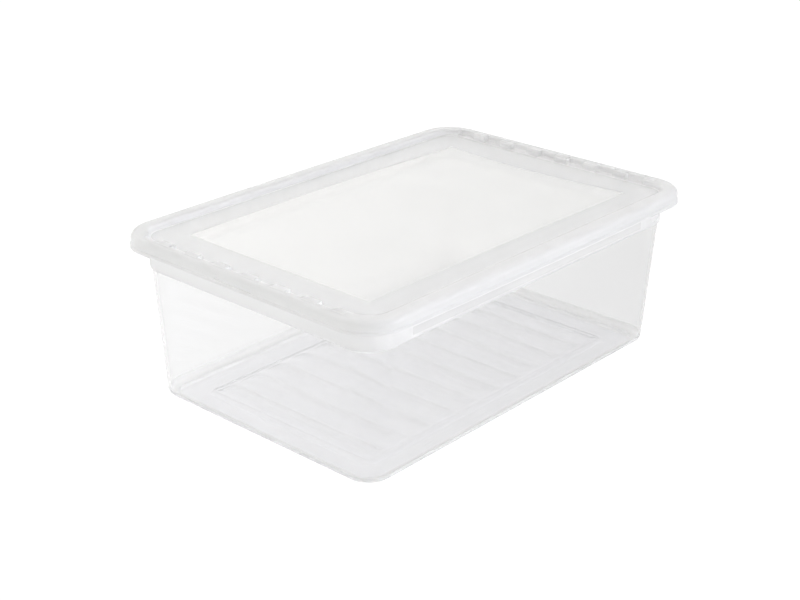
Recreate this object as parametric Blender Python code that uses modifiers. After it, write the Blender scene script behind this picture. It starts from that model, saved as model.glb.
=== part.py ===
"""Plastic storage box with a lift-off lid, both injection moulded in translucent polypropylene.

The tub is one thin skin: a ridged floor inside a foot ring, tapered walls, a stepped collar and a flange with a
turned-down edge. The lid is a second skin: a hollow rim that drops over the tub's bead, a stacking recess with a
row of pockets at each end, and a clear window. Lengths are in metres, +Z is up, X runs along the box, and the
origin is on the ground under its middle.
"""

from __future__ import annotations

import math
from dataclasses import dataclass, replace

import bmesh
import bpy

# Overall sizes, and the fit of the lid on the tub
LENGTH = 0.390
WIDTH = 0.267
HEIGHT = 0.138
CORNER_RADIUS = 0.0318
SIDE_BOW = 0.0012
SEAT_CLEARANCE = 0.0003
BEAD_CLEARANCE = 0.0004

# Tub, wall and floor
TUB_WALL = 0.0015
WALL_SLOPE_SHARE = 0.0504
WALL_FOOT_RADIUS = 0.0202
BEND_INNER_RADIUS = 0.0039
FOOT_LEDGE = 0.0016
FOOT_RISE = 0.0005
FOOT_RADIUS = 0.0152
FOOT_INNER_RADIUS = 0.0010
FLOOR_BORDER = 0.0192
PANEL_RAISE = 0.0012
PANEL_RAMP = 0.0012
PANEL_RADIUS = 0.0110
RIDGE_PITCH = 0.0271
RIDGE_GAP = 0.0032
RIDGE_RISE = 0.0013
RIDGE_END_GAP = 0.0022

# Tub, collar, flange and bead
COLLAR_HEIGHT = 0.0191
COLLAR_PROUD = 0.0016
COLLAR_LIP = 0.0028
COLLAR_RADIUS = 0.0231
GRIP_DEPTH = 0.0010
GRIP_MARGIN = 0.0130
GRIP_RAMP = 0.0070
FLANGE_REACH = 0.0129
FLANGE_FILLET = 0.0012
FLANGE_LIP = 0.0010
FLANGE_CHAMFER = 0.0004
BEAD_WALL = 0.0015
BEAD_CHAMFER = 0.0005

# Lid
LID_WALL = 0.0015
LID_INSET = 0.0010
LID_DEPTH = 0.0077
RIM_WIDTH = 0.0137
RIM_TOP_INNER_RADIUS = 0.0025
RIM_LIP_INNER_RADIUS = 0.0003
RECESS_DEPTH = 0.0046
RECESS_FILLET = 0.0010
WINDOW_END_BORDER = 0.0255
WINDOW_SIDE_BORDER = 0.0251
WINDOW_STEP = 0.0003
WINDOW_RADIUS = 0.0015
NOTCH_HALF_WIDTH = 0.0170
NOTCH_RISE = 0.0025
NOTCH_RAMP = 0.0020
POCKET_PITCH = 0.0302
POCKET_WIDTH = 0.0167
POCKET_DEPTH = 0.0050
POCKET_SHIFT = 0.0075
POCKET_SILL = 0.0003
POCKET_ROUNDING = 0.0012
CUT_OVERRUN = 0.0030

# How finely curves are stepped, and shares that place points along a side, a crown or a wall
CORNER_STEPS = 6
RIDGE_CORNER_STEPS = 3
POCKET_STEPS = 2
FOOT_STEPS = 3
BEND_STEPS = 4
COLLAR_STEPS = 3
FILLET_STEPS = 2
RIM_TOP_STEPS = 4
RIM_LIP_STEPS = 2
SMOOTH_ANGLE_DEGREES = 30
TUB_SIDE_SHARES = (0.3, 0.6)
LID_SIDE_SHARES = (0.25, 0.5, 0.75)
TUB_END_SHARES = (0.5,)
RIDGE_CROWN_SHARES = (-0.06, 0.12, 0.35, 0.70)
RIDGE_END_SHARE = 0.85
SINK_SHARE = 0.5

# Levels that both mouldings share
LID_BASE = HEIGHT - LID_DEPTH
FLANGE_TOP = LID_BASE - SEAT_CLEARANCE
COLLAR_BASE = FLANGE_TOP - TUB_WALL - COLLAR_HEIGHT
RIM_TOP_RADIUS = LID_WALL + RIM_TOP_INNER_RADIUS


@dataclass(frozen=True)
class Outline:
    """A rounded rectangle seen from above, whose long sides may bow outwards."""

    half_length: float
    half_width: float
    radius: float
    bow: float = 0.0

    @property
    def long_straight(self) -> float:
        """Half the straight part of a long side."""
        return self.half_length - self.radius

    @property
    def short_straight(self) -> float:
        """Half the straight part of a short side."""
        return self.half_width - self.radius

    def inset(self, distance: float) -> Outline:
        """The parallel outline this far inside this one."""
        return replace(
            self,
            half_length=self.half_length - distance,
            half_width=self.half_width - distance,
            radius=self.radius - distance,
        )

    def toward(self, other: Outline, share: float) -> Outline:
        """The outline this share of the way from this one to the other."""
        return Outline(
            self.half_length + share * (other.half_length - self.half_length),
            self.half_width + share * (other.half_width - self.half_width),
            self.radius + share * (other.radius - self.radius),
            self.bow + share * (other.bow - self.bow),
        )


@dataclass(frozen=True)
class Stations:
    """Where the points of an outline stand: shares along each side's straight part, and steps round a corner."""

    long_shares: tuple[float, ...] = ()
    short_shares: tuple[float, ...] = ()
    corner_steps: int = CORNER_STEPS

    def ring(self, outline: Outline, height: float) -> list[list[float]]:
        """The outline's points at a height, anticlockwise from the +X side.

        Args:
            outline: the rounded rectangle to walk round.
            height: the Z of every point.

        Returns:
            As many [x, y, z] points for every outline, so that rings can be lofted.
        """
        across, along = outline.short_straight, outline.long_straight
        sides = (
            ((outline.half_length, 0.0), (0.0, across), self.short_shares, (along, across)),
            ((0.0, outline.half_width), (-along, 0.0), self.long_shares, (-along, across)),
            ((-outline.half_length, 0.0), (0.0, -across), self.short_shares, (-along, -across)),
            ((0.0, -outline.half_width), (along, 0.0), self.long_shares, (along, -across)),
        )
        points = []
        for turn, (middle, run, shares, centre) in enumerate(sides):
            for share in shares:
                points.append((middle[0] + share * run[0], middle[1] + share * run[1]))
            for step in range(self.corner_steps + 1):
                angle = (turn + step / self.corner_steps) * math.pi / 2
                across_corner = outline.radius * math.cos(angle)
                along_corner = outline.radius * math.sin(angle)
                points.append((centre[0] + across_corner, centre[1] + along_corner))
        bowed = []
        for x, y in points:
            drawn_in = outline.bow * (x / outline.half_length) ** 2
            bowed.append([x, y - math.copysign(drawn_in, y), height])
        return bowed


Ring = list[list[float]]

FLANGE = Outline(LENGTH / 2, WIDTH / 2, CORNER_RADIUS, SIDE_BOW)
LID = FLANGE.inset(LID_INSET)
COLLAR = replace(FLANGE.inset(FLANGE_REACH), radius=COLLAR_RADIUS, bow=0.0)
RIM_INNER = replace(LID.inset(RIM_WIDTH), bow=0.0)
WINDOW = Outline(
    RIM_INNER.half_length - WINDOW_END_BORDER,
    RIM_INNER.half_width - WINDOW_SIDE_BORDER,
    WINDOW_RADIUS,
)


def mirrored(shares: tuple[float, ...]) -> tuple[float, ...]:
    """The shares on both sides of the middle, in walking order, with the middle itself."""
    return tuple(sorted({-share for share in shares} | {0.0} | set(shares)))


def plateau(distance: float, half_width: float, ramp: float) -> float:
    """1 within half_width of the middle, falling to 0 over the ramp beyond it."""
    return min(1.0, max(0.0, (half_width + ramp - abs(distance)) / ramp))


def quarter(steps: int) -> list[tuple[float, float]]:
    """(sine, 1 - cosine) at even steps through a quarter turn, without its start."""
    angles = [step / steps * math.pi / 2 for step in range(1, steps + 1)]
    return [(math.sin(angle), 1 - math.cos(angle)) for angle in angles]


def loft(name: str, rings: list[Ring], first_cap: bool, last_cap: bool, closed: bool = False) -> bpy.types.Object:
    """A surface through rings of equal count, which unlike sections leave to no modelling tool.

    Args:
        name: the object's name.
        rings: anticlockwise rings, ordered so that the skin faces outwards.
        first_cap: whether a face fills the first ring.
        last_cap: whether a face fills the last ring.
        closed: whether the last ring joins the first again, as round a bead.

    Returns:
        The new object, in no collection yet.
    """
    form = bmesh.new()
    loops = [[form.verts.new(point) for point in ring] for ring in rings]
    following = loops[1:] + loops[:1] if closed else loops[1:]
    for lower, upper in zip(loops, following):
        for index, (start, above) in enumerate(zip(lower, upper)):
            ahead = (index + 1) % len(lower)
            form.faces.new((start, lower[ahead], upper[ahead], above))
    if first_cap:
        form.faces.new(loops[0][::-1])
    if last_cap:
        form.faces.new(loops[-1])
    mesh = bpy.data.meshes.new(name)
    form.to_mesh(mesh)
    form.free()
    mesh.shade_smooth()
    mesh.set_sharp_from_angle(angle=math.radians(SMOOTH_ANGLE_DEGREES))
    return bpy.data.objects.new(name, mesh)


def shell(obj: bpy.types.Object, thickness: float) -> None:
    """Gives an open outer skin its wall, on the inside."""
    solidify = obj.modifiers.new("wall", "SOLIDIFY")
    solidify.thickness = thickness
    solidify.offset = -1.0
    solidify.use_even_offset = True
    solidify.use_quality_normals = True


def boolean(obj: bpy.types.Object, tool: bpy.types.Object, operation: str) -> None:
    """Joins the tool to the object, or cuts it out."""
    modifier = obj.modifiers.new(tool.name, "BOOLEAN")
    modifier.operation = operation
    modifier.object = tool
    modifier.solver = "EXACT"


def repeat(obj: bpy.types.Object, count: int, offset: tuple[float, float, float]) -> None:
    """Repeats the object in a row."""
    array = obj.modifiers.new("row", "ARRAY")
    array.count = count
    array.use_relative_offset = False
    array.use_constant_offset = True
    array.constant_offset_displace = offset


def polypropylene(name: str, colour: tuple[float, float, float], roughness: float) -> bpy.types.Material:
    """Translucent polypropylene with this tint and surface roughness."""
    material = bpy.data.materials.new(name)
    material.use_nodes = True
    shader = material.node_tree.nodes["Principled BSDF"]
    shader.inputs["Base Color"].default_value = (*colour, 1.0)
    shader.inputs["Roughness"].default_value = roughness
    shader.inputs["Metallic"].default_value = 0.0
    shader.inputs["IOR"].default_value = 1.49
    shader.inputs["Transmission Weight"].default_value = 0.7
    return material


def tub_wall(height: float) -> Outline:
    """The wall's outer face at a height, which tapers inwards and rounds its corners tighter towards the floor."""
    top = replace(COLLAR.inset(COLLAR_PROUD), radius=COLLAR_RADIUS - COLLAR_PROUD)
    drop = COLLAR_BASE - height
    foot = replace(top.inset(WALL_SLOPE_SHARE * COLLAR_BASE), radius=WALL_FOOT_RADIUS)
    return top.toward(foot, drop / COLLAR_BASE)


FOOT_ROUNDING = TUB_WALL + FOOT_INNER_RADIUS
FOOT_HEIGHT = FOOT_ROUNDING + FOOT_RISE
WALL_BEND = TUB_WALL + BEND_INNER_RADIUS
WALL_BASE = FOOT_HEIGHT + WALL_BEND
FOOT = replace(tub_wall(WALL_BASE).inset(FOOT_LEDGE + WALL_BEND), radius=FOOT_RADIUS)
PANEL = replace(FOOT.inset(FLOOR_BORDER), radius=PANEL_RADIUS)


def tub_rings() -> list[Ring]:
    """The tub's outer skin, from the floor's middle out and up to the flange's turned-down edge."""
    grip_half = COLLAR.long_straight - GRIP_MARGIN - GRIP_RAMP
    grip_shares = (grip_half / COLLAR.long_straight, (grip_half + GRIP_RAMP) / COLLAR.long_straight)
    side_shares = tuple(share * grip_shares[0] for share in TUB_SIDE_SHARES) + grip_shares
    stations = Stations(mirrored(side_shares), mirrored(TUB_END_SHARES))

    def gripped(outline: Outline, height: float, depth: float) -> Ring:
        """A ring whose long sides are set back between the ends, which is where the fingers go."""
        points = stations.ring(outline, height)
        for point in points:
            set_back = depth * plateau(point[0], grip_half, GRIP_RAMP)
            point[1] -= math.copysign(set_back, point[1])
        return points

    rings = [
        stations.ring(PANEL.inset(PANEL_RAMP), PANEL_RAISE),
        stations.ring(PANEL, 0.0),
        stations.ring(FOOT.inset(FOOT_ROUNDING), 0.0),
    ]
    for out, up in quarter(FOOT_STEPS):
        rings.append(stations.ring(FOOT.inset(FOOT_ROUNDING * (1 - out)), FOOT_ROUNDING * up))
    rings.append(stations.ring(FOOT, FOOT_HEIGHT))
    bend_end = tub_wall(WALL_BASE)
    bend_run = FOOT_LEDGE + WALL_BEND
    rings.append(stations.ring(FOOT.toward(bend_end, FOOT_LEDGE / bend_run), FOOT_HEIGHT))
    for out, up in quarter(BEND_STEPS):
        share = (FOOT_LEDGE + WALL_BEND * out) / bend_run
        rings.append(stations.ring(FOOT.toward(bend_end, share), FOOT_HEIGHT + WALL_BEND * up))
    wall_top = tub_wall(COLLAR_BASE)
    rings.append(stations.ring(wall_top, COLLAR_BASE))
    for out, up in quarter(COLLAR_STEPS):
        outline = wall_top.toward(COLLAR, out)
        rings.append(gripped(outline, COLLAR_BASE + COLLAR_LIP * up, GRIP_DEPTH * out))
    underside = FLANGE_TOP - TUB_WALL
    rings.append(gripped(COLLAR, underside - FLANGE_FILLET, GRIP_DEPTH))
    for rise, out in quarter(FILLET_STEPS):
        outline = COLLAR.inset(-FLANGE_FILLET * out)
        rings.append(gripped(outline, underside - FLANGE_FILLET * (1 - rise), GRIP_DEPTH))
    lip = FLANGE.inset(TUB_WALL)
    rings.append(stations.ring(lip.inset(FLANGE_CHAMFER), underside))
    rings.append(stations.ring(lip, underside - FLANGE_CHAMFER))
    rings.append(stations.ring(lip, underside - FLANGE_LIP))
    return rings


def bead_rings() -> list[Ring]:
    """The closed bead that stands on the flange, just inside the lid's skirt, up to where the skirt rounds over."""
    stations = Stations(mirrored(LID_SIDE_SHARES), mirrored(TUB_END_SHARES))
    outer = LID.inset(LID_WALL + BEAD_CLEARANCE)
    inner = outer.inset(BEAD_WALL)
    base = FLANGE_TOP - TUB_WALL * SINK_SHARE
    top = HEIGHT - RIM_TOP_RADIUS
    return [
        stations.ring(outer, base),
        stations.ring(outer, top - BEAD_CHAMFER),
        stations.ring(outer.inset(BEAD_CHAMFER), top),
        stations.ring(inner.inset(-BEAD_CHAMFER), top),
        stations.ring(inner, top - BEAD_CHAMFER),
        stations.ring(inner, base),
    ]


def ridge_row(name: str, surface: float, sink: float) -> bpy.types.Object:
    """A row of crowned ridges that lie across the floor panel, with rounded ends.

    Args:
        name: the object's name.
        surface: height of the face that the ridges rise from.
        sink: how far their bases lie under that face.

    Returns:
        The row, as a tool that can be joined or cut out.
    """
    count = int(2 * PANEL.half_length / RIDGE_PITCH)
    half_width = (RIDGE_PITCH - RIDGE_GAP) / 2
    plan = Outline(half_width, PANEL.half_width - RIDGE_END_GAP, half_width * RIDGE_END_SHARE)
    stations = Stations(corner_steps=RIDGE_CORNER_STEPS)
    rings = [stations.ring(plan.inset(RIDGE_CROWN_SHARES[0] * half_width), surface - sink)]
    for share in RIDGE_CROWN_SHARES:
        crown = RIDGE_RISE * (1 - (1 - share) ** 2)
        rings.append(stations.ring(plan.inset(share * half_width), surface + crown))
    row = loft(name, rings, first_cap=True, last_cap=True)
    row.location.x = -(count - 1) / 2 * RIDGE_PITCH
    repeat(row, count, (RIDGE_PITCH, 0.0, 0.0))
    return row


def lid_rings() -> list[Ring]:
    """The lid's outer skin, from the skirt's lower edge up, over the rim, and in to the window.

    Heights are above the skirt's lower edge, which is the lid's origin.
    """
    notch_half = NOTCH_HALF_WIDTH
    notch_shares = (notch_half / LID.short_straight, (notch_half + NOTCH_RAMP) / LID.short_straight)
    stations = Stations(mirrored(LID_SIDE_SHARES), mirrored(notch_shares))
    edge = stations.ring(LID, 0.0)
    for point in edge:
        point[2] += NOTCH_RISE * plateau(point[1], NOTCH_HALF_WIDTH, NOTCH_RAMP)
    rings = [edge, stations.ring(LID, LID_DEPTH - RIM_TOP_RADIUS)]
    for rise, back in quarter(RIM_TOP_STEPS):
        height = LID_DEPTH - RIM_TOP_RADIUS * (1 - rise)
        rings.append(stations.ring(LID.inset(RIM_TOP_RADIUS * back), height))
    lip_radius = LID_WALL + RIM_LIP_INNER_RADIUS
    rings.append(stations.ring(RIM_INNER.inset(-lip_radius), LID_DEPTH))
    for inward, down in quarter(RIM_LIP_STEPS):
        rings.append(stations.ring(RIM_INNER.inset(-lip_radius * (1 - inward)), LID_DEPTH - lip_radius * down))
    floor = LID_DEPTH - RECESS_DEPTH
    rings.append(stations.ring(RIM_INNER, floor + RECESS_FILLET))
    for fall, inward in quarter(FILLET_STEPS):
        rings.append(stations.ring(RIM_INNER.inset(RECESS_FILLET * inward), floor + RECESS_FILLET * (1 - fall)))
    rings.append(stations.ring(WINDOW, floor))
    rings.append(stations.ring(WINDOW.inset(WINDOW_STEP), floor + WINDOW_STEP))
    return rings


def pocket_row(name: str, low: tuple[float, float], high: tuple[float, float], half_width: float) -> bpy.types.Object:
    """A row of blocks across both ends of the lid, with their outer upright edges rounded.

    Args:
        name: the object's name.
        low: the blocks' inner face along X, and their underside above the lid's origin.
        high: the blocks' outer face along X, and their top.
        half_width: half a block's width along Y.

    Returns:
        The rows, as a tool that can be joined or cut out.
    """
    count = int(2 * RIM_INNER.short_straight / POCKET_PITCH) + 1
    first = POCKET_SHIFT - (count - 1) / 2 * POCKET_PITCH
    form = bmesh.new()
    bmesh.ops.create_cube(form, size=1.0)
    for vertex in form.verts:
        vertex.co.x = low[0] if vertex.co.x < 0 else high[0]
        vertex.co.y = first + math.copysign(half_width, vertex.co.y)
        vertex.co.z = low[1] if vertex.co.z < 0 else high[1]
    outer = [edge for edge in form.edges if all(vertex.co.x == high[0] for vertex in edge.verts)]
    upright = [edge for edge in outer if edge.verts[0].co.y == edge.verts[1].co.y]
    bmesh.ops.bevel(
        form, geom=upright, offset=POCKET_ROUNDING, segments=POCKET_STEPS, profile=0.5, affect="EDGES"
    )
    mesh = bpy.data.meshes.new(name)
    form.to_mesh(mesh)
    form.free()
    row = bpy.data.objects.new(name, mesh)
    repeat(row, count, (0.0, POCKET_PITCH, 0.0))
    mirror = row.modifiers.new("other_end", "MIRROR")
    mirror.use_mirror_merge = False
    return row


def build_tub(parts: bpy.types.Collection, tools: bpy.types.Collection) -> None:
    """The tub: its skin, the floor's ridges with the grooves under them, and the bead."""
    tub = loft("tub", tub_rings(), first_cap=True, last_cap=False)
    parts.objects.link(tub)
    shell(tub, TUB_WALL)
    sink = TUB_WALL * SINK_SHARE
    ridges = ridge_row("floor_ridges", PANEL_RAISE + TUB_WALL, sink)
    grooves = ridge_row("ridge_grooves", PANEL_RAISE, CUT_OVERRUN)
    bead = loft("rim_bead", bead_rings(), first_cap=False, last_cap=False, closed=True)
    for tool, operation in ((ridges, "UNION"), (grooves, "DIFFERENCE"), (bead, "UNION")):
        tools.objects.link(tool)
        boolean(tub, tool, operation)
    tub.data.materials.append(polypropylene("clear_polypropylene", (0.84, 0.85, 0.86), 0.25))


def build_lid(parts: bpy.types.Collection, tools: bpy.types.Collection) -> None:
    """The lid: its skin, and the pockets in the inner wall of its rim at both ends."""
    lid = loft("lid", lid_rings(), first_cap=False, last_cap=True)
    lid.location.z = LID_BASE
    parts.objects.link(lid)
    shell(lid, LID_WALL)
    wall_sink = LID_WALL * SINK_SHARE
    floor = LID_DEPTH - RECESS_DEPTH + POCKET_SILL
    pocket_end = RIM_INNER.half_length + POCKET_DEPTH
    cups = pocket_row(
        "pocket_walls",
        (RIM_INNER.half_length + wall_sink, floor - LID_WALL),
        (pocket_end + LID_WALL, LID_DEPTH - wall_sink),
        POCKET_WIDTH / 2 + LID_WALL,
    )
    pockets = pocket_row(
        "pockets",
        (RIM_INNER.half_length - CUT_OVERRUN, floor),
        (pocket_end, LID_DEPTH + CUT_OVERRUN),
        POCKET_WIDTH / 2,
    )
    for tool, operation in ((cups, "UNION"), (pockets, "DIFFERENCE")):
        tools.objects.link(tool)
        tool.parent = lid
        boolean(lid, tool, operation)
    lid.data.materials.append(polypropylene("frosted_polypropylene", (0.82, 0.82, 0.82), 0.55))


def hide_tools(tools: bpy.types.Collection) -> None:
    """Keeps the tools out of the picture."""
    for tool in tools.objects:
        tool.hide_render = True
        tool.display_type = "WIRE"


def main() -> None:
    """Clears the scene and builds the box with its lid on."""
    for obj in list(bpy.data.objects):
        bpy.data.objects.remove(obj)
    parts = bpy.data.collections.new("storage_box")
    tools = bpy.data.collections.new("cutters")
    for collection in (parts, tools):
        bpy.context.scene.collection.children.link(collection)
    build_tub(parts, tools)
    build_lid(parts, tools)
    hide_tools(tools)


if __name__ == "__main__":
    main()
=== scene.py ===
"""Looks of the plastic storage box: clear and frosted polypropylene mouldings on a white sweep."""

from __future__ import annotations

import logging
import math
from collections.abc import Callable
from dataclasses import astuple, dataclass, replace
from enum import IntEnum

import bpy
import numpy as np
from mathutils import Matrix, Vector


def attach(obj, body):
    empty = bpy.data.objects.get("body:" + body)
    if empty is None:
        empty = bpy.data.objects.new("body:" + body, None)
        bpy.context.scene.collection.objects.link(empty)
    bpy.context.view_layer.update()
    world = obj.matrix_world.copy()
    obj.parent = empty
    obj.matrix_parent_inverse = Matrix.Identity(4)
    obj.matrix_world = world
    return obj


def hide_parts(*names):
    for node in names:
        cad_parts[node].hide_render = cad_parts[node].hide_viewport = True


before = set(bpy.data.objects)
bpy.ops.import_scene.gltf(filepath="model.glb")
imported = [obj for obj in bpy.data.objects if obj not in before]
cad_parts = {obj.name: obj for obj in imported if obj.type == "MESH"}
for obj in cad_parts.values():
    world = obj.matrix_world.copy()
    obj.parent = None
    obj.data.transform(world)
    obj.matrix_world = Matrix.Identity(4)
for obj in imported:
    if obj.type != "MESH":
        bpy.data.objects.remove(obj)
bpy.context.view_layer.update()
LOG = logging.getLogger("storage_box")
MM = 0.001
WHITE = (1.0, 1.0, 1.0, 1.0)
# Edges that turn more than this stay sharp.
SHARP_DEGREES = 40.0
# The smallest corner radius that an outline keeps when it is drawn in.
LEAST_RADIUS = 0.2 * MM
# The least step between neighbouring rings of a skin's other face, and the rounds that bring them to it.
LEAST_STEP = 0.02 * MM
SPREADING_ROUNDS = 60
# Mitres at sharp bends of the skin are cut short at this cosine.
LEAST_MITRE = 0.5


def linear(hex_colour: str) -> tuple[float, float, float, float]:
    """Turns an sRGB hex colour into Blender's linear one.

    Args:
        hex_colour: six hex digits, such as "f4f5f2".

    Returns:
        Linear red, green and blue, with an alpha of 1.
    """
    channels = (int(hex_colour[start : start + 2], 16) / 255 for start in (0, 2, 4))
    turned = [c / 12.92 if c <= 0.04045 else ((c + 0.055) / 1.055) ** 2.4 for c in channels]
    return (turned[0], turned[1], turned[2], 1.0)


def add(tree: bpy.types.NodeTree, kind: str, links: dict | None = None, **settings) -> bpy.types.Node:
    """Adds a node with its settings, values and links.

    Args:
        tree: the node tree to add to.
        kind: the node's type name.
        links: input name or number to a value, or to an output socket to link from.
        settings: attributes of the node itself.

    Returns:
        The new node.
    """
    node = tree.nodes.new(kind)
    for name, value in settings.items():
        setattr(node, name, value)
    for name, value in (links or {}).items():
        if isinstance(value, bpy.types.NodeSocket):
            tree.links.new(value, node.inputs[name])
        else:
            node.inputs[name].default_value = value
    return node


@dataclass(frozen=True)
class Polypropylene:
    """Translucent injection-moulded polypropylene.

    The resin itself is clear and faintly milky. A polished mould leaves it glossy, and a spark-eroded mould
    leaves a fine even grain that frosts it.

    Attributes:
        name: the material's name.
        tint: its sRGB hex colour.
        roughness: its mean roughness.
        clarity: the share of light that goes through.
        milkiness: the share of light that scatters in every direction.
        grain_mm: width of the mould's grain.
        grain_depth_mm: depth of the grain.
        flow_mm: width of the slow waves left by the melt.
        flow_depth_mm: depth of those waves.
        drawn_out: how many times longer the waves are along Y.
        unevenness: how far the waves change the roughness, as a share of it.
        ior: refractive index of polypropylene.
    """

    name: str
    tint: str
    roughness: float
    clarity: float
    milkiness: float = 0.0
    grain_mm: float = 0.35
    grain_depth_mm: float = 0.005
    flow_mm: float = 45.0
    flow_depth_mm: float = 0.02
    drawn_out: float = 1.0
    unevenness: float = 0.15
    ior: float = 1.49

    def material(self) -> bpy.types.Material:
        """Makes the finish's material.

        Returns:
            A material of a transmitting shader mixed with the milky share.
        """
        made = bpy.data.materials.new(self.name)
        made.use_nodes = True
        tree = made.node_tree
        tree.nodes.clear()
        place = add(tree, "ShaderNodeTexCoord").outputs["Object"]
        # Slow waves left by the melt as it filled the mould bend reflections a little.
        stretch = (1.0, 1 / self.drawn_out, 1.0)
        along = add(tree, "ShaderNodeVectorMath", {0: place, 1: stretch}, operation="MULTIPLY").outputs[0]
        flow = add(
            tree,
            "ShaderNodeTexNoise",
            {"Vector": along, "Scale": 1 / (self.flow_mm * MM), "Detail": 1.0, "Roughness": 0.4},
        ).outputs["Fac"]
        waves = add(tree, "ShaderNodeBump", {"Distance": self.flow_depth_mm * MM, "Height": flow})
        # The mould's grain is drawn coarser than the real 0.05 mm so that it shows at all.
        grain = add(
            tree,
            "ShaderNodeTexNoise",
            {"Vector": place, "Scale": 1 / (self.grain_mm * MM), "Detail": 2.0, "Roughness": 0.6},
        ).outputs["Fac"]
        bump = add(
            tree,
            "ShaderNodeBump",
            {"Distance": self.grain_depth_mm * MM, "Height": grain, "Normal": waves.outputs["Normal"]},
        ).outputs["Normal"]
        least, most = (self.roughness * (1 + side * self.unevenness) for side in (-1, 1))
        rough = add(tree, "ShaderNodeMapRange", {"Value": flow, "To Min": least, "To Max": most})
        shader = add(
            tree,
            "ShaderNodeBsdfPrincipled",
            {
                "Base Color": linear(self.tint),
                "IOR": self.ior,
                "Transmission Weight": self.clarity,
                "Roughness": rough.outputs["Result"],
                "Normal": bump,
            },
        )
        # The milky share scatters the light that goes through it in every direction.
        milk = add(tree, "ShaderNodeBsdfTranslucent", {"Color": linear(self.tint), "Normal": bump})
        parts = {0: self.milkiness, 1: shader.outputs["BSDF"], 2: milk.outputs["BSDF"]}
        both = add(tree, "ShaderNodeMixShader", parts)
        add(tree, "ShaderNodeOutputMaterial", {"Surface": both.outputs["Shader"]})
        return made


class Finish(IntEnum):
    """Which finish a band of a moulding takes, as its material slot's number."""

    CLEAR = 0
    FROSTED = 1
    SATIN = 2
    COLLAR = 3
    FLOOR = 4
    FOOT = 5
    LAND = 6
    WINDOW = 7
    BORDER = 8


FINISHES: dict[Finish, Polypropylene] = {
    # Walls against polished steel are clear, with slow waves in what shows through them.
    Finish.CLEAR: Polypropylene(
        "clear_polypropylene",
        "fdfdfd",
        roughness=0.04,
        clarity=0.99,
        grain_mm=0.6,
        grain_depth_mm=0.0,
        flow_depth_mm=0.03,
    ),
    # Rims from a spark-eroded mould look white and soft, with a wide highlight and no sharp reflection.
    Finish.FROSTED: Polypropylene(
        "frosted_polypropylene", "fdfdfd", roughness=0.25, clarity=0.4, milkiness=0.3, grain_depth_mm=0.01
    ),
    # The lid's border from a finely eroded mould blurs and whitens what lies under it.
    Finish.SATIN: Polypropylene(
        "satin_polypropylene", "fefefe", roughness=0.2, clarity=0.75, milkiness=0.2, grain_depth_mm=0.01
    ),
    # The collar's finger recess is eroded less deeply, so it is smoother than the rims and as pale.
    Finish.COLLAR: Polypropylene(
        "collar_polypropylene", "fefefe", roughness=0.16, clarity=0.75, milkiness=0.4, grain_depth_mm=0.01
    ),
    # The melt froze in long strokes across the ridged floor, which show as grey streaks in a cloudy sheet.
    Finish.FLOOR: Polypropylene(
        "floor_polypropylene",
        "f7f7f9",
        roughness=0.2,
        clarity=0.96,
        milkiness=0.08,
        flow_mm=8.0,
        flow_depth_mm=0.16,
        drawn_out=7.0,
    ),
    # The foot ring and the bend above it are eroded, which leaves them cloudy.
    Finish.FOOT: Polypropylene("foot_polypropylene", "fdfdfd", roughness=0.17, clarity=0.62, milkiness=0.2),
    # The lands between the lid's pockets are smooth and milky, so they show as short white dashes.
    Finish.LAND: Polypropylene(
        "land_polypropylene", "fefefe", roughness=0.1, clarity=0.6, milkiness=0.7, grain_depth_mm=0.0
    ),
    # The lid's window is clear and colourless, and its thin uneven sheet blurs what lies far behind it.
    Finish.WINDOW: Polypropylene(
        "window_polypropylene",
        "fefefd",
        roughness=0.13,
        clarity=0.99,
        grain_mm=0.6,
        grain_depth_mm=0.0,
        flow_depth_mm=0.03,
    ),
    # The flat border round the floor's ridges is clearer than the foot and has no streaks.
    Finish.BORDER: Polypropylene(
        "border_polypropylene", "f9f9fb", roughness=0.2, clarity=0.92, milkiness=0.1
    ),
}


@dataclass(frozen=True)
class Outline:
    """A rounded rectangle seen from above, whose long sides may bow outwards."""

    half_length: float
    half_width: float
    radius: float
    bow: float = 0.0

    def inset(self, distance: float) -> Outline:
        """The parallel outline this far inside this one."""
        radius = max(self.radius - distance, LEAST_RADIUS)
        return Outline(self.half_length - distance, self.half_width - distance, radius, self.bow)

    def toward(self, other: Outline, share: float) -> Outline:
        """The outline this share of the way from this one to the other."""
        pairs = zip(astuple(self), astuple(other))
        return Outline(*(mine + share * (theirs - mine) for mine, theirs in pairs))


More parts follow.
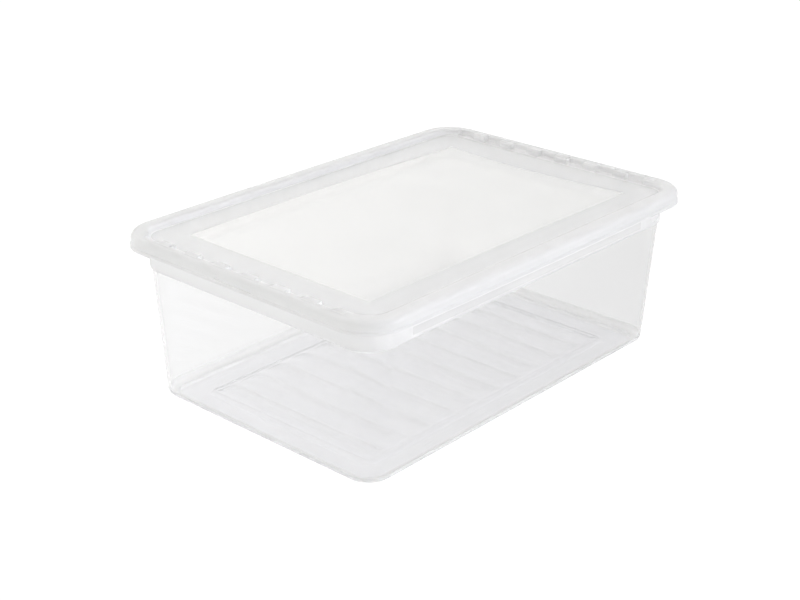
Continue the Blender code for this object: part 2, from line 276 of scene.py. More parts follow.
@dataclass(frozen=True)
class Walk:
    """The places of points round an outline, the same for every outline of a moulding."""

    long_shares: tuple[float, ...]
    short_shares: tuple[float, ...]
    corner_steps: int

    def points(self, outline: Outline) -> np.ndarray:
        """Places the points round an outline.

        Args:
            outline: the outline to walk round.

        Returns:
            Rows of x and y, anticlockwise from the +X side.
        """
        across = outline.half_width - outline.radius
        along = outline.half_length - outline.radius
        sides = (
            ((outline.half_length, 0.0), (0.0, across), self.short_shares, (along, across)),
            ((0.0, outline.half_width), (-along, 0.0), self.long_shares, (-along, across)),
            ((-outline.half_length, 0.0), (0.0, -across), self.short_shares, (-along, -across)),
            ((0.0, -outline.half_width), (along, 0.0), self.long_shares, (along, -across)),
        )
        turns = np.arange(self.corner_steps + 1) / self.corner_steps
        found = []
        for turn, (middle, run, shares, centre) in enumerate(sides):
            found.append(np.array(middle) + np.outer(shares, run))
            angles = (turn + turns) * math.pi / 2
            arc = np.stack([np.cos(angles), np.sin(angles)], axis=1)
            found.append(np.array(centre) + outline.radius * arc)
        points = np.concatenate(found)
        drawn_in = outline.bow * (points[:, 0] / outline.half_length) ** 2
        points[:, 1] *= 1 - drawn_in / outline.half_width
        return points

    def corner_middles(self) -> tuple[int, int, int, int]:
        """Numbers the points at the middles of the four corners.

        Returns:
            The four numbers, in walking order.
        """
        corner = self.corner_steps + 1
        long_count, short_count = len(self.long_shares), len(self.short_shares)
        first = short_count + self.corner_steps // 2
        second = first + corner + long_count
        third = second + corner + short_count
        return (first, second, third, third + corner + long_count)


@dataclass(frozen=True)
class Section:
    """One ring of a moulding's skin.

    Attributes:
        outline: the ring seen from above.
        height: its height.
        finish: the finish of the band after it.
        shift: its share of shifts, such as into the pockets or the finger recess.
        level: whether the other face lies plumb with it.
    """

    outline: Outline
    height: float
    finish: Finish
    shift: float = 0.0
    level: bool = False


def offset(sections: list[Section], thickness: float) -> list[Section]:
    """The sections of the skin's other face, this far behind it.

    Args:
        sections: the face's sections, with the material on the left of the path they make.
        thickness: the wall's thickness.

    Returns:
        As many sections, in the same order.
    """
    reach = np.array([section.outline.half_length for section in sections])
    height = np.array([section.height for section in sections])
    steps = np.stack([np.diff(reach), np.diff(height)], axis=1)
    steps /= np.linalg.norm(steps, axis=1)[:, None]
    before = np.concatenate([steps[:1], steps])
    after = np.concatenate([steps, steps[-1:]])
    mean = before + after
    mean /= np.linalg.norm(mean, axis=1)[:, None]
    mitre = 1 / np.clip((mean * before).sum(axis=1), LEAST_MITRE, 1.0)
    inward = thickness * mitre * mean[:, 1]
    upward = thickness * mitre * mean[:, 0]
    for i, section in enumerate(sections):
        if section.level:
            inward[i], upward[i] = 0.0, thickness * math.copysign(1.0, mean[i, 0])
    # Where the path bends more tightly than the wall is thick, rings that would pass each other meet halfway.
    behind = np.stack([reach - inward, height + upward], axis=1)
    for _ in range(SPREADING_ROUNDS):
        for i in range(len(steps)):
            passed = min(float((behind[i + 1] - behind[i]) @ steps[i]) - LEAST_STEP, 0.0)
            behind[i] += steps[i] * passed / 2
            behind[i + 1] -= steps[i] * passed / 2
    inward, upward = reach - behind[:, 0], behind[:, 1] - height
    return [
        replace(section, outline=section.outline.inset(inward[i]), height=section.height + upward[i])
        for i, section in enumerate(sections)
    ]


def quarter(steps: int) -> list[tuple[float, float]]:
    """(sine, 1 - cosine) at even steps through a quarter turn, without its start."""
    angles = [step / steps * math.pi / 2 for step in range(1, steps + 1)]
    return [(math.sin(angle), 1 - math.cos(angle)) for angle in angles]


def even(steps: int) -> list[float]:
    """Even shares between 0 and 1, without either."""
    return [step / steps for step in range(1, steps)]


def mirrored(shares: list[float]) -> tuple[float, ...]:
    """The shares on both sides of the middle, in walking order, with the middle itself."""
    return tuple(sorted({-share for share in shares} | {0.0} | set(shares)))


def eased(share: float | np.ndarray) -> float | np.ndarray:
    """A share from 0 to 1 that starts and ends gently."""
    return share * share * (3 - 2 * share)


def plateau(distance: np.ndarray, half_width: float, ramp: float) -> np.ndarray:
    """1 within half_width of the middle, easing to 0 over the ramp beyond it."""
    return eased(np.clip((half_width + ramp - np.abs(distance)) / ramp, 0.0, 1.0))


def flat(places: np.ndarray) -> np.ndarray:
    """No change of height at rows of x and y."""
    return np.zeros(len(places))


# Gives a change of height for rows of x and y.
Shape = Callable[[np.ndarray], np.ndarray]


class Moulding:
    """A thin-walled moulding whose two faces are lofted through rings and closed at the edge."""

    def __init__(self, name: str, walk: Walk) -> None:
        """Starts an empty moulding."""
        self.name = name
        self.walk = walk
        self.points: list[np.ndarray] = []
        self.faces: list[tuple[int, ...]] = []
        self.finishes: list[int] = []
        self.count = 0

    def ring(self, points: np.ndarray) -> np.ndarray:
        """Adds points.

        Args:
            points: rows of x, y and z.

        Returns:
            The numbers of the new points.
        """
        numbers = np.arange(self.count, self.count + len(points))
        self.points.append(points)
        self.count += len(points)
        return numbers

    def band(self, lower: np.ndarray, upper: np.ndarray, finish: Finish | list[Finish]) -> None:
        """Joins two rings by a band of faces.

        Args:
            lower: the numbers of one ring's points.
            upper: the numbers of the other's, which lies to the left of the walk as seen from outside.
            finish: the finish of the whole band, or one for each face.
        """
        ahead_lower, ahead_upper = np.roll(lower, -1), np.roll(upper, -1)
        corners = (lower, ahead_lower, ahead_upper, upper)
        self.faces += list(zip(*(corner.tolist() for corner in corners)))
        each = finish if isinstance(finish, list) else [finish] * len(lower)
        self.finishes += [int(one) for one in each]

    def patch(self, ring: np.ndarray, finish: Finish, shape: Shape, faces_up: bool) -> None:
        """Fills a ring with a grid of faces that meets its points.

        Args:
            ring: the numbers of the ring's points.
            finish: the finish of the new faces.
            shape: how far the filled-in points are raised.
            faces_up: whether the new faces look up or down.
        """
        placed = np.concatenate(self.points)
        first, second, third, fourth = self.walk.corner_middles()
        size = len(ring)
        right = [ring[i % size] for i in range(fourth, size + first + 1)]
        top = [ring[i] for i in range(second, first - 1, -1)]
        left = [ring[i] for i in range(third, second - 1, -1)]
        bottom = [ring[i] for i in range(third, fourth + 1)]
        grid = np.zeros((len(bottom), len(left)), int)
        grid[:, 0], grid[:, -1], grid[0, :], grid[-1, :] = bottom, top, left, right
        low, high, start, end = (placed[side] for side in (bottom, top, left, right))
        u = ((low[:, 0] - low[0, 0]) / (low[-1, 0] - low[0, 0]))[:, None, None]
        v = ((start[:, 1] - start[0, 1]) / (start[-1, 1] - start[0, 1]))[None, :, None]
        ruled = (1 - v) * low[:, None] + v * high[:, None]
        ruled = ruled + (1 - u) * start[None] + u * end[None]
        corners = (1 - u) * (1 - v) * low[0] + u * (1 - v) * low[-1]
        corners = corners + (1 - u) * v * high[0] + u * v * high[-1]
        inside = (ruled - corners)[1:-1, 1:-1].reshape(-1, 3)
        inside[:, 2] += shape(inside[:, :2])
        grid[1:-1, 1:-1] = self.ring(inside).reshape(grid.shape[0] - 2, grid.shape[1] - 2)
        for i in range(grid.shape[0] - 1):
            for j in range(grid.shape[1] - 1):
                corner = [int(grid[i, j]), int(grid[i + 1, j]), int(grid[i + 1, j + 1]), int(grid[i, j + 1])]
                self.faces.append(tuple(corner if faces_up else corner[::-1]))
                self.finishes.append(int(finish))

    def build(self, materials: list[bpy.types.Material]) -> bpy.types.Object:
        """Makes the object.

        Args:
            materials: one for each finish.

        Returns:
            The new object, linked to the scene.
        """
        mesh = bpy.data.meshes.new(self.name)
        mesh.from_pydata(np.concatenate(self.points).tolist(), [], self.faces)
        for material in materials:
            mesh.materials.append(material)
        mesh.polygons.foreach_set("material_index", self.finishes)
        mesh.shade_smooth()
        mesh.set_sharp_from_angle(angle=math.radians(SHARP_DEGREES))
        mesh.validate()
        obj = bpy.data.objects.new(self.name, mesh)
        bpy.context.scene.collection.objects.link(obj)
        return obj


@dataclass(frozen=True)
class Sizes:
    """Sizes that the tub and the lid share, in metres, as the CAD model has them."""

    length: float = 0.390
    width: float = 0.267
    height: float = 0.138
    corner_radius: float = 0.0318
    side_bow: float = 0.0012
    wall: float = 0.0015
    lid_inset: float = 0.0010
    lid_depth: float = 0.0077
    seat: float = 0.0003
    rim_top_radius: float = 0.0040

    @property
    def flange(self) -> Outline:
        """The tub's widest outline."""
        return Outline(self.length / 2, self.width / 2, self.corner_radius, self.side_bow)

    @property
    def lid(self) -> Outline:
        """The lid's outer outline."""
        return self.flange.inset(self.lid_inset)

    @property
    def flange_top(self) -> float:
        """Height of the flange's upper face."""
        return self.height - self.lid_depth - self.seat


SIZES = Sizes()


@dataclass(frozen=True)
class Tub:
    """The tub: ridged floor, foot ring, tapered walls, stepped collar, flange and bead."""

    collar_height: float = 0.0191
    collar_proud: float = 0.0016
    collar_lip: float = 0.0028
    collar_radius: float = 0.0231
    flange_reach: float = 0.0129
    flange_fillet: float = 0.0012
    flange_lip: float = 0.0010
    flange_chamfer: float = 0.0004
    flange_edge: float = 0.0003
    wall_slope: float = 0.0504
    wall_foot_radius: float = 0.0202
    bend: float = 0.0054
    foot_ledge: float = 0.0016
    foot_rise: float = 0.0005
    foot_radius: float = 0.0152
    foot_rounding: float = 0.0025
    floor_border: float = 0.0192
    panel_raise: float = 0.0012
    panel_ramp: float = 0.0060
    panel_radius: float = 0.0110
    ridge_pitch: float = 0.0271
    ridge_gap: float = 0.0032
    ridge_rise: float = 0.0013
    ridge_end_gap: float = 0.0022
    ridge_fade: float = 0.0060
    grip_depth: float = 0.0010
    grip_margin: float = 0.0130
    grip_ramp: float = 0.0070
    bead_wall: float = 0.0015
    bead_clearance: float = 0.0004
    bead_round: float = 0.0005
    panel_steps: int = 12
    rounding_steps: int = 10
    bend_steps: int = 16
    wall_steps: int = 4
    lip_steps: int = 14
    fillet_steps: int = 7
    grip_steps: int = 4
    long_steps: int = 50
    short_steps: int = 16
    corner_steps: int = 64

    @property
    def collar(self) -> Outline:
        """The collar's outer face."""
        return replace(SIZES.flange.inset(self.flange_reach), radius=self.collar_radius, bow=0.0)

    @property
    def underside(self) -> float:
        """Height of the flange's lower face."""
        return SIZES.flange_top - SIZES.wall

    @property
    def collar_base(self) -> float:
        """Height of the collar's lower edge."""
        return self.underside - self.collar_height

    @property
    def foot_height(self) -> float:
        """Height of the ledge at the top of the foot ring."""
        return self.foot_rounding + self.foot_rise

    @property
    def straight(self) -> float:
        """Half the length of the collar's long sides between its corners."""
        return self.collar.half_length - self.collar_radius

    @property
    def grip_half(self) -> float:
        """Half the length over which the finger recess has its full depth."""
        return self.straight - self.grip_margin - self.grip_ramp

    def wall_at(self, height: float) -> Outline:
        """The wall's outer face at a height.

        Args:
            height: the height to cut the wall at.

        Returns:
            The outline there.
        """
        top = replace(self.collar.inset(self.collar_proud), radius=self.collar_radius - self.collar_proud)
        foot = replace(top.inset(self.wall_slope * self.collar_base), radius=self.wall_foot_radius)
        return top.toward(foot, (self.collar_base - height) / self.collar_base)

    def floor_face(self) -> list[Section]:
        """The outer face from the floor panel out and up to the foot of the walls.

        Returns:
            Its sections, from the panel's edge.
        """
        bend_end = self.wall_at(self.foot_height + self.bend)
        run = self.foot_ledge + self.bend
        foot = replace(bend_end.inset(run), radius=self.foot_radius)
        panel = replace(foot.inset(self.floor_border), radius=self.panel_radius)
        found = []
        for step in range(self.panel_steps, -1, -1):
            share = step / self.panel_steps
            outline = panel.inset(self.panel_ramp * share)
            finish = Finish.FLOOR if step else Finish.BORDER
            found.append(Section(outline, self.panel_raise * eased(share), finish, level=True))
        found.append(Section(foot.inset(self.foot_rounding), 0.0, Finish.FOOT))
        for out, up in quarter(self.rounding_steps):
            outline = foot.inset(self.foot_rounding * (1 - out))
            found.append(Section(outline, self.foot_rounding * up, Finish.FOOT))
        found.append(Section(foot, self.foot_height, Finish.FOOT))
        found.append(Section(foot.toward(bend_end, self.foot_ledge / run), self.foot_height, Finish.FOOT))
        for out, up in quarter(self.bend_steps):
            outline = foot.toward(bend_end, (self.foot_ledge + self.bend * out) / run)
            found.append(Section(outline, self.foot_height + self.bend * up, Finish.FOOT))
        return found

    def wall_face(self) -> list[Section]:
        """The outer face of the walls and the collar.

        Returns:
            Its sections, from the first above the foot up to the flange.
        """
        found = []
        for share in even(self.wall_steps) + [1.0]:
            height = self.foot_height + self.bend + share * (self.collar_base - self.foot_height - self.bend)
            found.append(Section(self.wall_at(height), height, Finish.CLEAR))
        wall_top = found[-1].outline
        found[-1] = replace(found[-1], finish=Finish.FROSTED)
        for out, up in quarter(self.lip_steps):
            outline = wall_top.toward(self.collar, out)
            found.append(Section(outline, self.collar_base + self.collar_lip * up, Finish.FROSTED, out))
        found[-1] = replace(found[-1], finish=Finish.COLLAR)
        found.append(Section(self.collar, self.underside - self.flange_fillet, Finish.COLLAR, 1.0))
        for rise, out in quarter(self.fillet_steps):
            outline = self.collar.inset(-self.flange_fillet * out)
            height = self.underside - self.flange_fillet * (1 - rise)
            found.append(Section(outline, height, Finish.FROSTED, 1.0))
        return found

    def flange_face(self) -> list[Section]:
        """The flange's lower face beyond the collar's fillet, out to its turned-down edge."""
        lip, base = SIZES.flange.inset(SIZES.wall), self.underside
        corners = ((lip.inset(self.flange_chamfer), 0.0), (lip, self.flange_chamfer), (lip, self.flange_lip))
        return [Section(outline, base - drop, Finish.FROSTED) for outline, drop in corners]

    def bead(self) -> list[Section]:
        """The bead on the flange.

        Returns:
            Its sections, from its outer foot over the top to its inner foot.
        """
        outer = SIZES.lid.inset(SIZES.wall + self.bead_clearance)
        inner = outer.inset(self.bead_wall)
        top = SIZES.height - SIZES.rim_top_radius
        corners = (
            (outer, SIZES.flange_top),
            (outer, top - self.bead_round),
            (outer.inset(self.bead_round), top),
            (inner.inset(-self.bead_round), top),
            (inner, top - self.bead_round),
            (inner, SIZES.flange_top),
        )
        return [Section(outline, height, Finish.FROSTED) for outline, height in corners]

    def walk(self) -> Walk:
        """Points close enough together for the floor's ridges and the ends of the finger recess.

        Returns:
            The walk of every ring of the tub.
        """
        ramp = [0.0] + even(self.grip_steps) + [1.0]
        ends = [(self.grip_half + self.grip_ramp * share) / self.straight for share in ramp]
        between = [share for share in even(self.long_steps) if share < ends[0] or share > ends[-1]]
        return Walk(mirrored(between + ends), mirrored(even(self.short_steps)), self.corner_steps)

    def shifted(self, walk: Walk, section: Section) -> np.ndarray:
        """Places a section's points, set back along the long sides where the fingers go.

        Args:
            walk: the moulding's walk.
            section: the section to place.

        Returns:
            Rows of x, y and z.
        """
        points = walk.points(section.outline)
        set_back = section.shift * self.grip_depth * plateau(points[:, 0], self.grip_half, self.grip_ramp)
        points[:, 1] -= np.sign(points[:, 1]) * set_back
        return np.column_stack([points, np.full(len(points), section.height)])

    def ridges(self, places: np.ndarray) -> np.ndarray:
        """How far the floor's crowned ridges raise it.

        Args:
            places: rows of x and y.

        Returns:
            The rise at each place.
        """
        panel = self.wall_at(self.foot_height + self.bend)
        border = self.foot_ledge + self.bend + self.floor_border
        count = int(2 * (panel.half_length - border) / self.ridge_pitch)
        half_width = (self.ridge_pitch - self.ridge_gap) / 2
        spine = panel.half_width - border - self.ridge_end_gap - half_width
        order = np.clip(np.round(places[:, 0] / self.ridge_pitch), -(count // 2), count // 2)
        across = places[:, 0] - order * self.ridge_pitch
        beyond = np.maximum(np.abs(places[:, 1]) - spine, 0.0)
        share = np.minimum(np.hypot(across, beyond) / half_width, 1.0)
        # The ridges fade before the panel's edge, where their ends would otherwise be cut off.
        edge = panel.inset(border + self.panel_ramp)
        within_x = edge.half_length - np.abs(places[:, 0])
        within_y = edge.half_width - np.abs(places[:, 1])
        fade = np.clip(np.minimum(within_x, within_y) / self.ridge_fade, 0.0, 1.0)
        return self.ridge_rise * (1 - share**2) * eased(fade)

    def collar_finishes(self, walk: Walk, section: Section) -> list[Finish]:
        """Finishes the faces on the collar, coarser where it isn't set back for the fingers.

        Args:
            walk: the moulding's walk.
            section: the section that the faces start from.

        Returns:
            One finish for each face.
        """
        along = walk.points(section.outline)[:, 0]
        middles = (along + np.roll(along, -1)) / 2
        return [Finish.FROSTED if abs(middle) > self.grip_half else section.finish for middle in middles]

    def build(self, materials: list[bpy.types.Material]) -> bpy.types.Object:
        """Builds the tub as one closed moulding.

        Args:
            materials: one for each finish.

        Returns:
            The tub.
        """
        walk = self.walk()
        moulding = Moulding("moulded_tub", walk)
        floor = self.floor_face()
        # The clear wall starts where the foot's bend ends.
        floor[-1] = replace(floor[-1], finish=Finish.CLEAR)
        flange = self.flange_face()
        outer = floor + self.wall_face() + flange
        inner = offset(outer, SIZES.wall)
        rings = [moulding.ring(self.shifted(walk, section)) for section in outer]
        for index, section in enumerate(outer[:-1]):
            on_collar = section.finish == Finish.COLLAR
            finish = self.collar_finishes(walk, section) if on_collar else section.finish
            moulding.band(rings[index], rings[index + 1], finish)
        edge_height = self.underside - self.flange_lip - self.flange_edge
        edge = Section(SIZES.flange.inset(SIZES.wall / 2), edge_height, Finish.FROSTED)
        # The flange's upper face ends above the last section of the collar's fillet.
        fillet_end = len(outer) - len(flange) - 1
        upper = [edge] + inner[:fillet_end:-1] + self.bead() + [inner[fillet_end]]
        # The core's polished steel leaves the inside of the collar clear.
        for section in reversed(inner[:fillet_end]):
            on_collar = section.finish == Finish.COLLAR
            upper.append(replace(section, finish=Finish.CLEAR) if on_collar else section)
        last = rings[-1]
        for section in upper:
            ring = moulding.ring(self.shifted(walk, section))
            moulding.band(last, ring, section.finish)
            last = ring
        moulding.patch(rings[0], Finish.FLOOR, self.ridges, faces_up=False)
        moulding.patch(last, Finish.FLOOR, self.ridges, faces_up=True)
        return moulding.build(materials)


@dataclass(frozen=True)
class Lid:
    """The lid: skirt with finger notches, hollow rim with pockets, frosted border and clear window."""

    rim_width: float = 0.0137
    rim_lip: float = 0.0018
    recess_depth: float = 0.0046
    recess_fillet: float = 0.0010
    fillet_margin: float = 0.0010
    window_end_border: float = 0.0255
    window_side_border: float = 0.0251
    window_step: float = 0.0003
    window_slope: float = 0.0014
    window_radius: float = 0.0015
    notch_half: float = 0.0170
    notch_rise: float = 0.0025
    notch_ramp: float = 0.0020
    notch_shares: tuple[float, ...] = (0.0, 0.3, 0.7, 1.0)
    pocket_pitch: float = 0.0302
    pocket_half: float = 0.0084
    pocket_depth: float = 0.0050
    pocket_margin: float = 0.0010
    pocket_shift: float = 0.0075
    pocket_count: int = 7
    # Distance beyond a pocket's side to the share of its depth there.
    pocket_edge: tuple[tuple[float, float], ...] = (
        (-0.0007, 1.0),
        (-0.0004, 0.985),
        (-0.0002, 0.94),
        (-0.0001, 0.87),
        (0.0001, 0.13),
        (0.0002, 0.06),
        (0.0004, 0.015),
        (0.0007, 0.0),
    )
    land_end: float = 0.0985
    land_band: float = 0.0005
    land_share: float = 0.99
    end_sag: float = 0.0085
    sag_skew: float = 0.4
    side_rise: float = 0.0018
    warp_start_share: float = -0.2
    warp_hold: int = 6
    crown_steps: int = 16
    rim_steps: int = 8
    fillet_steps: int = 8
    border_steps: int = 4
    long_steps: int = 30
    walked_share: float = 0.998
    corner_steps: int = 64

    @property
    def base(self) -> float:
        """Height of the skirt's lower edge."""
        return SIZES.height - SIZES.lid_depth

    @property
    def rim_inner(self) -> Outline:
        """The rim's inner wall."""
        return replace(SIZES.lid.inset(self.rim_width), bow=0.0)

    def walk(self) -> Walk:
        """Points at the edges of every pocket and notch, and evenly along the long sides.

        Returns:
            The walk of every ring of the lid.
        """
        straight = self.rim_inner.half_width - self.rim_inner.radius
        centres = [
            self.pocket_shift + (order - (self.pocket_count - 1) / 2) * self.pocket_pitch
            for order in range(self.pocket_count)
        ]
        reaches = [self.pocket_half + d + extra for d, _ in self.pocket_edge for extra in (0.0, SIZES.wall)]
        places = {side * reach + centre for centre in centres for side in (-1, 1) for reach in reaches}
        places |= {
            side * (self.notch_half + self.notch_ramp * share)
            for side in (-1, 1)
            for share in self.notch_shares
        }
        # The two ends are walked in opposite directions, so every place is taken on both sides of the middle,
        # and places that lie in the same tenth of a millimetre are one.
        reach = straight * self.walked_share
        inside = {round(abs(place) / MM, 1) * MM / straight for place in places if abs(place) < reach}
        return Walk(mirrored(even(self.long_steps)), mirrored(sorted(inside)), self.corner_steps)

    def pockets(self, across: np.ndarray, wall: float) -> np.ndarray:
        """The row of pockets along an end, with rounded corners.

        Args:
            across: places along Y.
            wall: how much wider the pockets are than on the upper face.

        Returns:
            1 inside a pocket and 0 outside it.
        """
        order = (across - self.pocket_shift) / self.pocket_pitch
        limit = (self.pocket_count - 1) / 2
        nearest = np.clip(np.round(order), -limit, limit)
        distance = np.abs(order - nearest) * self.pocket_pitch - self.pocket_half - wall
        places, depths = zip(*self.pocket_edge)
        return np.interp(distance, places, depths)

    def rim_face(self) -> list[Section]:
        """The upper face from the skirt's lower edge over the rim and down to the recess.

        Returns:
            Its sections, from the skirt's lower edge.
        """
        lid, inner, top = SIZES.lid, self.rim_inner, SIZES.height
        radius = SIZES.rim_top_radius
        found = [Section(lid, self.base, Finish.FROSTED), Section(lid, top - radius, Finish.FROSTED)]
        for rise, back in quarter(self.crown_steps):
            found.append(Section(lid.inset(radius * back), top - radius * (1 - rise), Finish.FROSTED))
        crown = self.rim_width - self.rim_lip - self.pocket_depth - self.pocket_margin
        found.append(Section(lid.inset(crown), top, Finish.FROSTED))
        found.append(Section(inner.inset(-self.rim_lip), top, Finish.FROSTED, 1.0))
        for inward, down in quarter(self.rim_steps):
            outline = inner.inset(-self.rim_lip * (1 - inward))
            found.append(Section(outline, top - self.rim_lip * down, Finish.FROSTED, 1.0))
        floor = top - self.recess_depth
        found.append(Section(inner, floor + self.recess_fillet, Finish.FROSTED, 1.0))
        for fall, inward in quarter(self.fillet_steps):
            outline = inner.inset(self.recess_fillet * inward)
            found.append(Section(outline, floor + self.recess_fillet * (1 - fall), Finish.FROSTED, 1.0))
        return found

    def panel_face(self) -> list[Section]:
        """The upper face from the recess's outer edge over the border and up to the window.

        Returns:
            Its sections, from the recess's outer edge.
        """
        inner = self.rim_inner
        floor = SIZES.height - self.recess_depth
        border = inner.inset(self.recess_fillet + self.fillet_margin)
        window = Outline(
            inner.half_length - self.window_end_border,
            inner.half_width - self.window_side_border,
            self.window_radius,
        )
        found = [Section(border, floor, Finish.SATIN)]
        for share in even(self.border_steps):
            found.append(Section(border.toward(window, share), floor, Finish.SATIN))
        found.append(Section(window, floor, Finish.SATIN, level=True))
        raised = window.inset(self.window_slope)
        found.append(Section(raised, floor + self.window_step, Finish.CLEAR, level=True))
        return found

    def warp(self, places: np.ndarray) -> np.ndarray:
        """How far the thin panel has warped out of flat, more at the +X end than along the +Y side.

        Args:
            places: rows of x and y.

        Returns:
            The change of height at each place, which fades out at the rim that holds the panel.
        """
        inner = self.rim_inner
        x, y = places[:, 0] / inner.half_length, places[:, 1] / inner.half_width
        held = np.clip(1 - np.abs(x) ** self.warp_hold, 0, 1) * np.clip(1 - np.abs(y) ** self.warp_hold, 0, 1)
        start, run = self.warp_start_share, 1 - self.warp_start_share
        far_end = np.clip((x - start) / run, 0, 1) ** 2 * (1 - y**2) * (1 + self.sag_skew * y)
        far_side = np.clip((y - start) / run, 0, 1) ** 2 * (1 - x**2)
        return held * (self.side_rise * far_side - self.end_sag * far_end)

    def shifted(self, walk: Walk, section: Section, wall: float) -> np.ndarray:
        """Places a section's points, pushed out into the pockets and up over the finger notches.

        Args:
            walk: the moulding's walk.
            section: the section to place.
            wall: how much wider the pockets are than on the upper face.

        Returns:
            Rows of x, y and z.
        """
        points = walk.points(section.outline)
        on_ends = np.abs(points[:, 0]) > section.outline.half_length - section.outline.radius
        out = section.shift * self.pocket_depth * self.pockets(points[:, 1], wall) * on_ends
        points[:, 0] += np.sign(points[:, 0]) * out
        height = np.full(len(points), section.height)
        in_rim = section.outline.half_length > self.rim_inner.half_length
        if in_rim and section.height < self.base + self.notch_rise:
            height += on_ends * self.notch_rise * plateau(points[:, 1], self.notch_half, self.notch_ramp)
        else:
            height += self.warp(points)
        return np.column_stack([points, height])

    def land_finishes(self, walk: Walk, section: Section) -> list[Finish]:
        """Finishes the faces before a section, smoother on the lands between pockets than elsewhere.

        Args:
            walk: the moulding's walk.
            section: the section that the faces end at.

        Returns:
            One finish for each face.
        """
        points = walk.points(section.outline)
        middles = (points[:, 1] + np.roll(points[:, 1], -1)) / 2
        on_ends = np.abs(points[:, 0]) > section.outline.half_length - self.land_band
        beside = self.pockets(middles, 0.0) < self.land_share
        lands = on_ends & (np.abs(middles) < self.land_end) & beside
        return [Finish.LAND if land else section.finish for land in lands]

    def build(self, materials: list[bpy.types.Material]) -> bpy.types.Object:
        """Builds the lid as one closed moulding.

        Args:
            materials: one for each finish.

        Returns:
            The lid.
        """
        walk = self.walk()
        moulding = Moulding("moulded_lid", walk)
        outer = self.rim_face() + self.panel_face()
        inner = offset(outer, SIZES.wall)
        rings = [moulding.ring(self.shifted(walk, section, 0.0)) for section in outer]
        for index in range(len(outer) - 1):
            section, ahead = outer[index], outer[index + 1]
            at_pockets = ahead.shift > section.shift
            finish = self.land_finishes(walk, ahead) if at_pockets else section.finish
            moulding.band(rings[index], rings[index + 1], finish)
        under = [moulding.ring(self.shifted(walk, section, SIZES.wall)) for section in inner]
        moulding.band(under[0], rings[0], Finish.LAND)
        for index in range(len(outer) - 1):
            moulding.band(under[index + 1], under[index], outer[index].finish)
        moulding.patch(rings[-1], Finish.WINDOW, flat, faces_up=True)
        moulding.patch(under[-1], Finish.WINDOW, flat, faces_up=False)
        return moulding.build(materials)


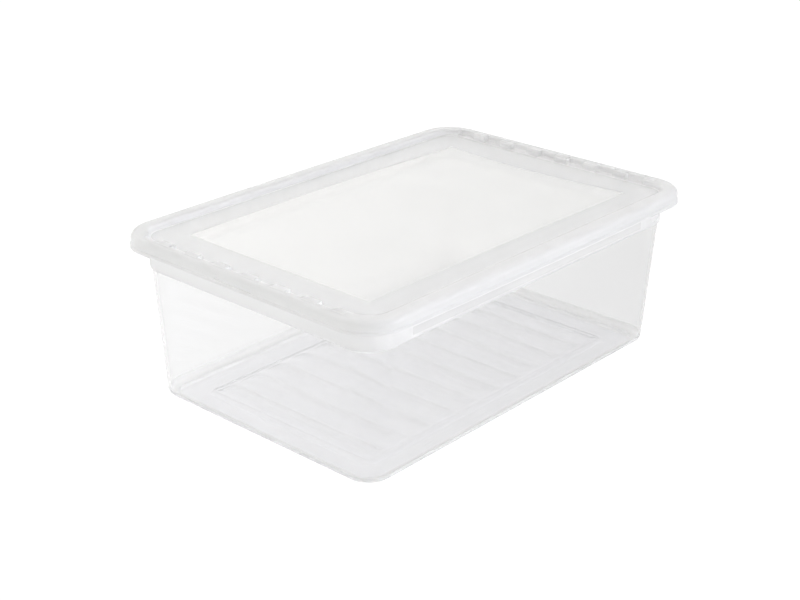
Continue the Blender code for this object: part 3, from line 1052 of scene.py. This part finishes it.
@dataclass(frozen=True)
class Studio:
    """White sweep, pale room, one soft lamp and the camera. Angles are in degrees."""

    azimuth: float = -48.4071
    elevation: float = 23.5264
    distance: float = 1.1972
    roll: float = 0.5439
    target: tuple[float, float, float] = (-0.0121, 0.0051, 0.0609)
    lens: float = 67.17
    clip_start: float = 0.01
    warm: str = "fdfcfa"
    cool: str = "e5e6e8"
    # Cosines of the angle from the left between which the room turns from cool to warm.
    cool_from: float = -0.6
    warm_from: float = 0.1
    near_level: float = 0.48
    far_level: float = 1.06
    # Cosines of the angle from the camera's side between which it turns from its far to its near level.
    far_from: float = -0.2
    near_from: float = 0.8
    card: str = "8a8a8a"
    floor_glow_left: float = 0.78
    floor_glow_right: float = 0.62
    floor_seen: float = 0.84
    floor_fall: float = 0.22
    floor_radius: float = 12.0
    floor_corners: int = 64
    floor_drop: float = 0.0002
    lamp_place: tuple[float, float, float] = (0.42, -1.35, 0.38)
    lamp_aim: tuple[float, float, float] = (-0.22, -0.13, 0.13)
    lamp_size: tuple[float, float] = (0.9, 0.8)
    lamp_spread: float = 54.0
    lamp_power: float = 1.1
    lamp_colour: str = "f4f5ff"
    bounces: int = 32

    def camera(self) -> bpy.types.Object:
        """Makes the camera, at the photograph's viewing angle.

        Returns:
            The scene's camera.
        """
        a, e, r = (math.radians(angle) for angle in (self.azimuth, self.elevation, self.roll))
        back = Vector((math.sin(a) * math.cos(e), -math.cos(a) * math.cos(e), math.sin(e)))
        right = Vector((math.cos(a), math.sin(a), 0.0))
        up = back.cross(right)
        rolled_right = right * math.cos(r) + up * math.sin(r)
        rolled_up = up * math.cos(r) - right * math.sin(r)
        data = bpy.data.cameras.new("camera")
        data.lens = self.lens
        data.clip_start = self.clip_start
        obj = bpy.data.objects.new("camera", data)
        turn = Matrix((rolled_right, rolled_up, back)).transposed()
        obj.matrix_world = Matrix.Translation(Vector(self.target) + back * self.distance) @ turn.to_4x4()
        bpy.context.scene.collection.objects.link(obj)
        bpy.context.scene.camera = obj
        return obj

    def world(self) -> None:
        """Makes a white background, and a pale room for everything but the camera.

        The room is warm on the left, cooler and darker on the right, and darkest on the camera's side.
        """
        world = bpy.data.worlds.new("studio")
        bpy.context.scene.world = world
        world.use_nodes = True
        tree = world.node_tree
        tree.nodes.clear()
        direction = add(tree, "ShaderNodeTexCoord").outputs["Generated"]
        ahead = math.radians(90 + self.azimuth)
        left = (-math.sin(ahead), math.cos(ahead), 0.0)
        across = add(tree, "ShaderNodeVectorMath", {0: direction, 1: left}, operation="DOT_PRODUCT")
        side = add(
            tree,
            "ShaderNodeMapRange",
            {"Value": across.outputs["Value"], "From Min": self.cool_from, "From Max": self.warm_from},
        ).outputs["Result"]
        tints = {"Factor": side, 6: linear(self.cool), 7: linear(self.warm)}
        room = add(tree, "ShaderNodeMix", tints, data_type="RGBA").outputs[2]
        front = (-math.cos(ahead), -math.sin(ahead), 0.0)
        toward = add(tree, "ShaderNodeVectorMath", {0: direction, 1: front}, operation="DOT_PRODUCT")
        level = add(
            tree,
            "ShaderNodeMapRange",
            {
                "Value": toward.outputs["Value"],
                "From Min": self.far_from,
                "From Max": self.near_from,
                "To Min": self.far_level,
                "To Max": self.near_level,
            },
        ).outputs["Result"]
        seen = add(tree, "ShaderNodeLightPath").outputs["Is Camera Ray"]
        card = add(tree, "ShaderNodeMix", {"Factor": seen, 6: room, 7: WHITE}, data_type="RGBA")
        power = add(tree, "ShaderNodeMix", {"Factor": seen, 2: level, 3: 1.0}, data_type="FLOAT")
        light = add(tree, "ShaderNodeBackground", {"Color": card.outputs[2], "Strength": power.outputs[0]})
        add(tree, "ShaderNodeOutputWorld", {"Surface": light.outputs["Background"]})

    def floor(self) -> bpy.types.Object:
        """Makes a white floor that glows with painted light, though no lamp lies under it.

        It shows pure white to the camera. For everything else it glows with a painted light that falls off to
        the right.

        Returns:
            The floor, marked as stage.
        """
        material = bpy.data.materials.new("glowing_white_card")
        material.use_nodes = True
        tree = material.node_tree
        tree.nodes.clear()
        seen = add(tree, "ShaderNodeLightPath").outputs["Is Camera Ray"]
        place = add(tree, "ShaderNodeNewGeometry").outputs["Position"]
        heading = math.radians(self.azimuth)
        right = (math.cos(heading), math.sin(heading), 0.0)
        across = add(tree, "ShaderNodeVectorMath", {0: place, 1: right}, operation="DOT_PRODUCT")
        # Painted light: for every ray but the camera's, the floor glows brighter on the left and dimmer on
        # the right, which shades the box's right side.
        fall = add(
            tree,
            "ShaderNodeMapRange",
            {
                "Value": across.outputs["Value"],
                "From Min": -self.floor_fall,
                "From Max": self.floor_fall,
                "To Min": self.floor_glow_left,
                "To Max": self.floor_glow_right,
            },
        ).outputs["Result"]
        levels = {"Factor": seen, 2: fall, 3: self.floor_seen}
        glow = add(tree, "ShaderNodeMix", levels, data_type="FLOAT")
        card = add(tree, "ShaderNodeBsdfDiffuse", {"Color": linear(self.card)})
        lit = add(tree, "ShaderNodeEmission", {"Color": WHITE, "Strength": glow.outputs[0]})
        both = add(tree, "ShaderNodeAddShader", {0: card.outputs["BSDF"], 1: lit.outputs["Emission"]})
        add(tree, "ShaderNodeOutputMaterial", {"Surface": both.outputs["Shader"]})
        bpy.ops.mesh.primitive_circle_add(
            vertices=self.floor_corners,
            radius=self.floor_radius,
            fill_type="NGON",
            location=(0, 0, -self.floor_drop),
        )
        floor = bpy.context.object
        floor.name = "floor"
        floor.data.materials.append(material)
        return floor

    def lamp(self) -> bpy.types.Object:
        """Makes a softbox whose grid narrows its beam, aimed at the near end of the long side.

        Returns:
            The new lamp, linked to the scene.
        """
        data = bpy.data.lights.new("side_softbox", "AREA")
        data.shape = "RECTANGLE"
        data.size, data.size_y = self.lamp_size
        data.energy = self.lamp_power
        data.color = linear(self.lamp_colour)[:3]
        data.spread = math.radians(self.lamp_spread)
        lamp = bpy.data.objects.new("side_softbox", data)
        lamp.location = self.lamp_place
        beam = Vector(self.lamp_aim) - Vector(self.lamp_place)
        lamp.rotation_euler = beam.to_track_quat("-Z", "Y").to_euler()
        bpy.context.scene.collection.objects.link(lamp)
        return lamp

    def build(self) -> None:
        """Builds the studio."""
        self.camera()
        self.world()
        self.floor()
        self.lamp()
        scene = bpy.context.scene
        scene.view_settings.view_transform = "Standard"
        # Light passes a dozen faces of clear plastic on its way through the box.
        scene.cycles.max_bounces = self.bounces
        scene.cycles.transmission_bounces = self.bounces
        scene.cycles.glossy_bounces = self.bounces
        scene.cycles.diffuse_bounces = self.bounces
        # Blurring the clear faces for light that has scattered once would darken every frosted part.
        scene.cycles.blur_glossy = 0.0


def main() -> None:
    """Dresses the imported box."""
    logging.basicConfig(level=logging.INFO, format="%(message)s")
    Studio().build()
    materials = [FINISHES[finish].material() for finish in Finish]
    for piece, node in ((Tub().build(materials), "tub"), (Lid().build(materials), "lid")):
        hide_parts(node)
        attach(piece, node)
        LOG.info("%s stands for %s with %d faces", piece.name, node, len(piece.data.polygons))


if __name__ == "__main__":
    main()
